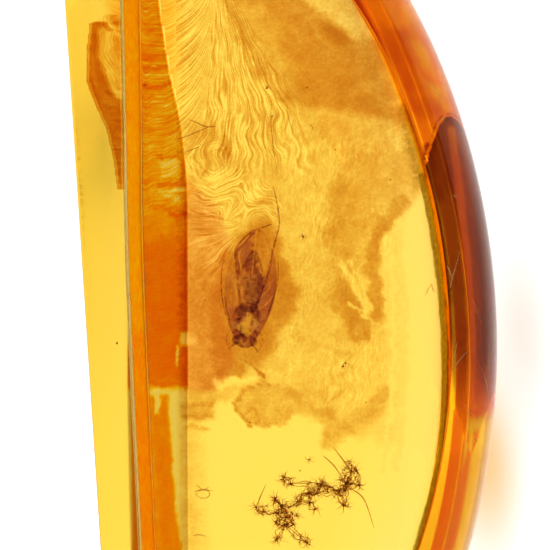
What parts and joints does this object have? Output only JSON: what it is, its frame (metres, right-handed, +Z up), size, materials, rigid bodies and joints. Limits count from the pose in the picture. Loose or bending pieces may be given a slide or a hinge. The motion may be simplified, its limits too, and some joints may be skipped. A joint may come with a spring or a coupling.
{
  "type": "insect in amber",
  "caption": "Polished half-oval of clear amber with a planthopper and a tangle of oak hairs sealed inside, lying on its flat lower face.",
  "frame": {"origin": "on the surface that the stone lies on, under the middle of its bounding box", "axes": "+X from the straight ground side to the round side, +Y along the stone from the insect's head towards its tail, +Z up through its thickness"},
  "size_m": [0.015, 0.0392, 0.0081],
  "materials": {
    "amber": null,
    "chitin": "brown insect cuticle",
    "oak_hair": "dark brown plant hair"
  },
  "bodies": {
    "root": {"amber_upper_half": "amber", "amber_lower_half": "amber", "insect": "chitin", "oak_hair_tangle": "oak_hair"}
  },
  "joints": []
}
